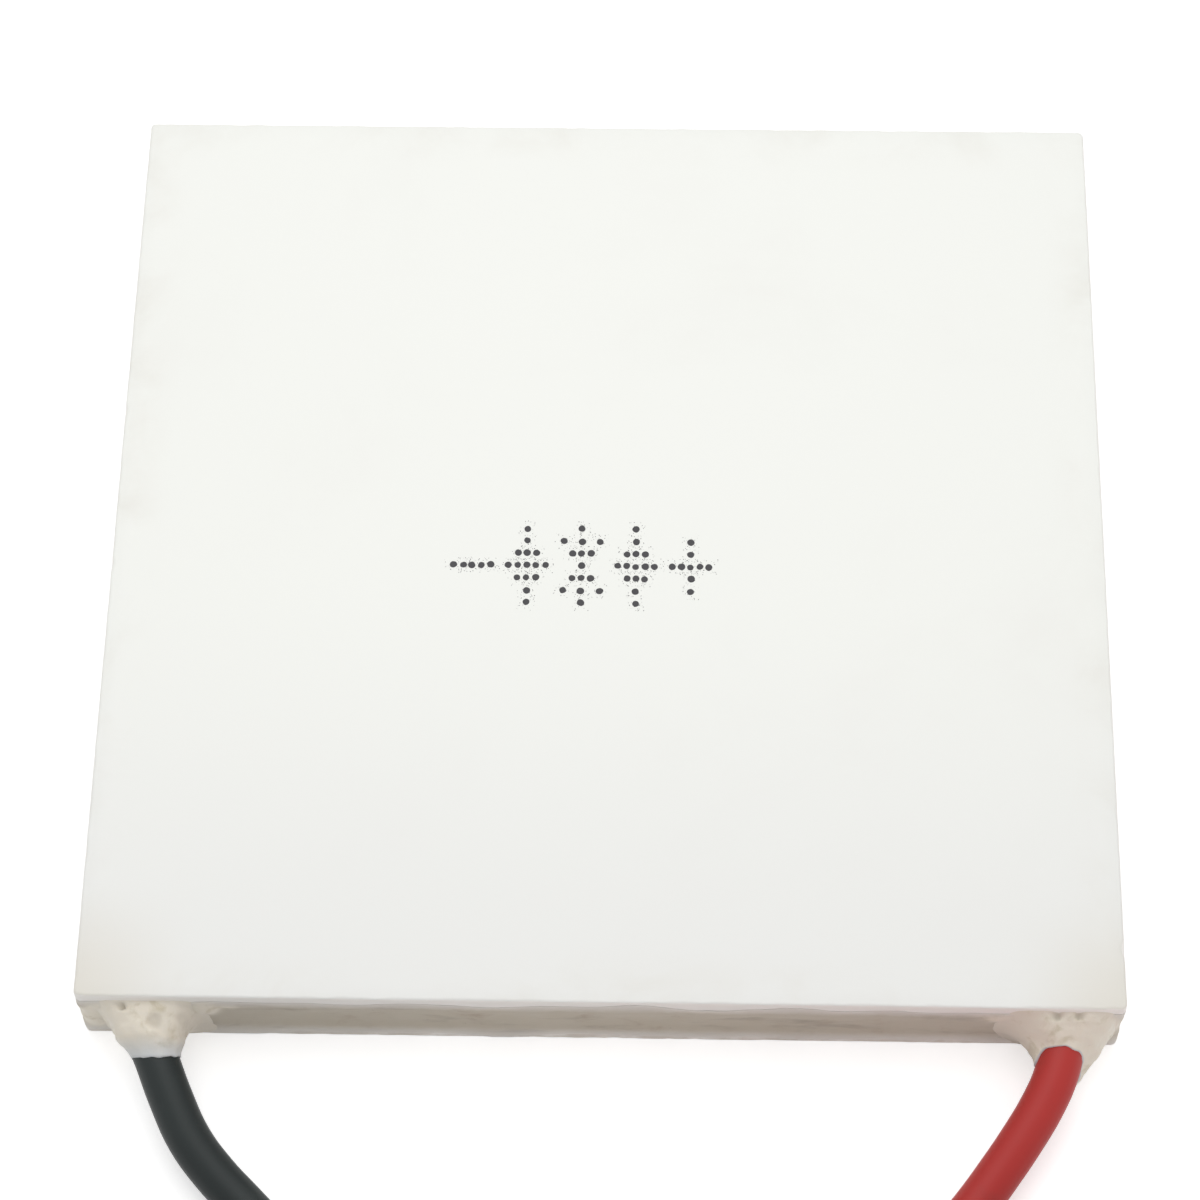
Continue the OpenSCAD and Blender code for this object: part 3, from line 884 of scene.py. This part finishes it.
def pit_depth(spot, pits, upward):
    """How deep the pits go at a point, in mm; only the silicone that faces upward has them."""
    depth = 0
    for pit_x, pit_out, wide, deep in pits:
        gap = math.hypot(spot.x / MM - pit_x, (-spot.y - half_side) / MM - pit_out)
        depth += deep * math.exp(-(gap / wide) ** 4) * upward
    return depth


def kept_within(spot, top):
    """A dab's point, rounded off under its top in mm and clear of the corners and the surface."""
    over = max(0, spot.z / MM - top + DAB_CROWN)
    crowned = spot.z - (over - DAB_CROWN * (1 - math.exp(-over / DAB_CROWN))) * MM
    return Vector((
        math.copysign(min(abs(spot.x), half_side - 0.03 * MM), spot.x),
        spot.y,
        max(hot_low.z + 0.02 * MM, crowned),
    ))


def lead_dab(name, points, inward, sides, top, film, shade_and_brown, pits):
    """A dab round a lead, from its table, no higher than top and with pits at (x, outward,
    radius, depth), all in mm. The lead shows through silicone that is thinner than film, and
    the share given before the pits says how far the low inner side is painted darker: painted
    shade in its concave fillet, with a little of the brown of thick silicone."""
    bm = bmesh.new()
    rings = []
    shares = []
    for i in range(DAB_RINGS + 2):
        t = min(1, i / DAB_RINGS)
        share = t * t
        skin = DAB_SKIN if i <= DAB_RINGS else -DAB_SKIN
        ring = []
        for j in range(DAB_SIDES):
            turn = 360 * j / DAB_SIDES
            angle = math.radians(turn)
            aside = -inward * math.cos(angle)
            reach, *stands = by_side(turn, sides)
            reach *= 1 + 0.03 * noise.noise(Vector((3 * math.cos(angle), 3 * math.sin(angle), 7)))
            stand = max(0, stand_off(stands, t))
            axis, slant = lead_section(
                points, (reach * share - DAB_ROOT * max(0, 1 - 10 * t)) * MM)
            spot = Vector((
                axis.x + aside * (LEAD_RADIUS * slant + skin + stand * MM),
                axis.y,
                axis.z + math.sin(angle) * (LEAD_RADIUS + skin + stand * MM),
            ))
            lump = DAB_LUMPS * noise.noise(spot / (0.8 * MM))
            lump += DAB_RIPPLES * noise.noise(spot / (0.3 * MM))
            lump *= min(1, 8 * share) * min(1, 3 * (1 - share)) * min(1, stand / 0.4) ** 0.5
            sunk = pit_depth(spot, pits, max(0, math.sin(angle)))
            spot += (lump - sunk) * MM * Vector((aside, 0, math.sin(angle)))
            spot = kept_within(spot, top)
            ring.append(bm.verts.new(spot))
            # painted shade, with a little of thick silicone's brown: the low inner side of the
            # fillet takes the darker wiped colour
            shaded_brown = shade_and_brown * max(0, math.cos(angle - SHADED_BROWN_SIDE)) ** 3
            # painted shade: each pit also takes the darker wiped colour
            fresh_unshaded = max(0, min(1, 0.5 + 5 * t) - shaded_brown - 4 * sunk)
            on_plate = max(0, 1 - 5 * t) * max(0, min(1, (spot.z - cold_low.z) / (0.15 * MM)))
            shares.append((fresh_unshaded, FILM_SHARE * max(0, 1 - stand / film), on_plate))
        rings.append(ring)
    for a, b in zip(rings, rings[1:]):
        for j in range(DAB_SIDES):
            k = (j + 1) % DAB_SIDES
            bm.faces.new((a[j], a[k], b[k], b[j])).smooth = True
    bm.faces.new(rings[0])
    bm.faces.new(rings[-1])
    dab = piece_from(bm, name)
    dab.data.materials.append(SILICONE)
    store_share(dab, "fresh_unshaded", lambda i, spot: shares[i][0])
    store_share(dab, "film", lambda i, spot: shares[i][1])
    store_share(dab, "thin", lambda i, spot: shares[i][2])
    return dab


black_dab = lead_dab(
    "black_lead_dab", black_points, 1, BLACK_DAB, top=3.5, film=0.4, shade_and_brown=0.3,
    pits=[(-18.23, 0.17, 0.16, 0.22), (-16.9, 0.72, 0.3, 0.12), (-15.9, 0.5, 0.2, 0.08)])
red_dab = lead_dab(
    "red_lead_dab", red_points, -1, RED_DAB, top=3.72, film=0.01, shade_and_brown=1.0,
    pits=[(17.35, 0.06, 0.2, 0.2), (18.23, 0.08, 0.16, 0.18)])
seat(black_dab, "silicone", "black_lead_seal")
seat(red_dab, "silicone", "red_lead_seal")


# ---- Ties ----
# A paper-covered wire holds each coil: it goes once round the turns, and its two ends are
# twisted together and tucked into the coil's eye.

TIE_THICK = 0.22 * MM
TIE_CORNER = 0.6 * MM
TIE_CORNER_STEPS = 5
TWIST_LENGTH = 2.6 * MM
TWIST_TURNS = 1.5
TWIST_STEPS = 40
TWIST_SLOPE = 0.15
TWIST_WIDTH = 0.45  # as a share of the ribbon's, which its free ends nearly open out to
TAIL_LENGTH = 2.9 * MM
TAIL_SPREAD = 0.45
RIBBON = [(-1, -0.5), (0, -0.5), (1, -0.5), (1, -0.1), (0.3, 0.0), (0.12, 0.4), (0, 0.5),
          (-0.12, 0.4), (-0.3, 0.0), (-1, -0.1)]


def make_paper():
    """White paper ribbon, with darker patches painted as the shade of slight creases."""
    material, tree, shader, place = finish("tie_paper", 0.8)
    # painted shade: darker patches stand in for slight creases
    crease_shade = use(tree, BLOTCHES, place, Size=0.0012, Cover=0.4, Softness=0.3)
    tree.links.new(mixed(tree, crease_shade, linear(238, 236, 230), linear(222, 219, 210)),
                   shader.inputs["Base Color"])
    roughen(tree, shader, use(tree, GRAIN, place, Size=0.0004), 0.03 * MM)
    return material


def ribbon(bm, sections, closed):
    """A paper strip with its wire along the middle, through (middle, outward, half width)."""
    rings = [[bm.verts.new(spot + wide * u + out * (v * TIE_THICK)) for u, v in RIBBON]
             for spot, out, wide in sections]
    for a, b in zip(rings, rings[1:] + rings[:1] if closed else rings[1:]):
        for i in range(len(RIBBON)):
            j = (i + 1) % len(RIBBON)
            bm.faces.new((a[i], a[j], b[j], b[i]))
    if not closed:
        bm.faces.new(rings[0])
        bm.faces.new(rings[-1])


def lead_tie(name, node, inward):
    """The band round a coil's turns, and its twisted ends on the side that faces inward."""
    low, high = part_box(node)
    centre = (low + high) / 2
    half_x = (high.x - low.x - TIE_THICK) / 2 - TIE_CORNER
    half_z = (high.z - low.z - TIE_THICK) / 2 - TIE_CORNER
    half_width = Vector((0, (high.y - low.y) / 2, 0))
    bm = bmesh.new()
    band = []
    for corner, (side_x, side_z) in enumerate(((1, 1), (-1, 1), (-1, -1), (1, -1))):
        knee = centre + Vector((side_x * half_x, 0, side_z * half_z))
        for step in range(TIE_CORNER_STEPS + 1):
            a = math.radians(corner * 90 + step * 90 / TIE_CORNER_STEPS)
            out = Vector((math.cos(a), 0, math.sin(a)))
            band.append((knee + out * TIE_CORNER, out, half_width))
    ribbon(bm, band, closed=True)
    start = centre + Vector((inward * (half_x + TIE_CORNER), 0, 0))
    reach = Vector((inward, 0, -TWIST_SLOPE)).normalized()
    level = Vector((0, 1, 0))
    above = level.cross(reach)
    for side in (1, -1):
        end = []
        for i in range(TWIST_STEPS + 1):
            run = (TWIST_LENGTH + TAIL_LENGTH) * i / TWIST_STEPS
            free = max(0, run - TWIST_LENGTH) / TAIL_LENGTH
            a = TWIST_TURNS * 2 * math.pi * min(1, run / TWIST_LENGTH)
            wide = level * math.cos(a) + above * math.sin(a)
            out = wide.cross(reach) * side
            lift = 0.5 * TIE_THICK + TAIL_SPREAD * TAIL_LENGTH * free ** 2
            facing = (out - reach * (2 * TAIL_SPREAD * free)).normalized()
            opened = TWIST_WIDTH + 0.5 * math.sin(min(1, 2 * free) * math.pi / 2)
            end.append((start + reach * run + out * lift, facing, wide * half_width.y * opened))
        ribbon(bm, end, closed=False)
    tie = piece_from(bm, name)
    tie.data.materials.append(TIE_PAPER)
    seat(tie, "paper", node)
    return tie


TIE_PAPER = make_paper()
black_tie = lead_tie("black_coil_tie", "black_lead_tie", 1)
red_tie = lead_tie("red_coil_tie", "red_lead_tie", -1)


# ---- Studio ----
# A white floor that the module rests on, a soft box above and behind it, a wider one low in
# front that fills the shadows, and the camera above the front edge.

FLOOR_CORNERS = [(-2, -2, 0), (2, -2, 0), (2, 2, 0), (-2, 2, 0)]
FLOOR_GLOW = 0.52
SKY_LIGHT = 0.58


def to_eye(tree):
    """A mask of the rays that show the background itself: seen, mirrored or through glass."""
    ray = add(tree, "ShaderNodeLightPath")
    seen = reckon(tree, "MAXIMUM", ray.outputs["Is Camera Ray"], ray.outputs["Is Glossy Ray"])
    return reckon(tree, "MAXIMUM", seen, ray.outputs["Is Transmission Ray"])


def make_floor_white():
    """A floor that shows as white and still takes the module's soft shadow."""
    material = bpy.data.materials.new("floor_white")
    material.use_nodes = True
    tree = material.node_tree
    shader = tree.nodes["Principled BSDF"]
    shader.inputs["Base Color"].default_value = (0.85, 0.85, 0.85, 1)
    shader.inputs["Roughness"].default_value = 0.9
    shader.inputs["Specular IOR Level"].default_value = 0.0
    shader.inputs["Emission Color"].default_value = (1, 1, 1, 1)
    tree.links.new(times(tree, to_eye(tree), FLOOR_GLOW), shader.inputs["Emission Strength"])
    return material


floor_mesh = bpy.data.meshes.new("floor")
floor_mesh.from_pydata(FLOOR_CORNERS, [], [(0, 1, 2, 3)])
floor_mesh.materials.append(make_floor_white())
floor = in_scene("floor", floor_mesh)


def soft_lamp(name, place, size, power, aim):
    """A square soft box, sized in metres, that faces a point and stays out of sight."""
    data = bpy.data.lights.new(name, "AREA")
    data.size = size
    data.energy = power
    lamp = in_scene(name, data)
    lamp.location = place
    lamp.rotation_euler = (Vector(aim) - Vector(place)).to_track_quat("-Z", "Y").to_euler()
    lamp.visible_camera = False


soft_lamp("overhead", (-0.005, 0.035, 0.13), size=0.12, power=0.077, aim=(0, 0.01, 0))
soft_lamp("front_fill", (0.08, -0.30, 0.10), size=0.25, power=0.145, aim=(0, -0.02, 0))

world = bpy.data.worlds.new("studio")
bpy.context.scene.world = world
world.use_nodes = True
sky = world.node_tree
background = sky.nodes["Background"]
background.inputs["Color"].default_value = (1, 1, 1, 1)
glow = add(sky, "ShaderNodeMapRange", {
    "Value": to_eye(sky), "To Min": SKY_LIGHT, "To Max": 1.0})
sky.links.new(glow.outputs["Result"], background.inputs["Strength"])

CAMERA_TARGET = Vector((-0.35 * MM, -0.82 * MM, 0))
CAMERA_DISTANCE = 0.1507
CAMERA_AZIMUTH = math.radians(2.22)
CAMERA_ELEVATION = math.radians(62.67)
CAMERA_ROLL = math.radians(-1.31)
CAMERA_LENS = 109.6

camera_data = bpy.data.cameras.new("camera")
camera_data.lens = CAMERA_LENS
camera_data.sensor_width = 36
camera_data.clip_start = 0.01
camera_data.clip_end = 20
camera = in_scene("camera", camera_data)
away = Vector((
    math.cos(CAMERA_ELEVATION) * math.sin(CAMERA_AZIMUTH),
    -math.cos(CAMERA_ELEVATION) * math.cos(CAMERA_AZIMUTH),
    math.sin(CAMERA_ELEVATION),
))
level_view = (-away).to_track_quat("-Z", "Y").to_matrix()
camera.matrix_world = (
    Matrix.Translation(CAMERA_TARGET + away * CAMERA_DISTANCE)
    @ (level_view @ Matrix.Rotation(CAMERA_ROLL, 3, "Z")).to_4x4()
)
bpy.context.scene.camera = camera
bpy.context.scene.view_settings.view_transform = "Standard"
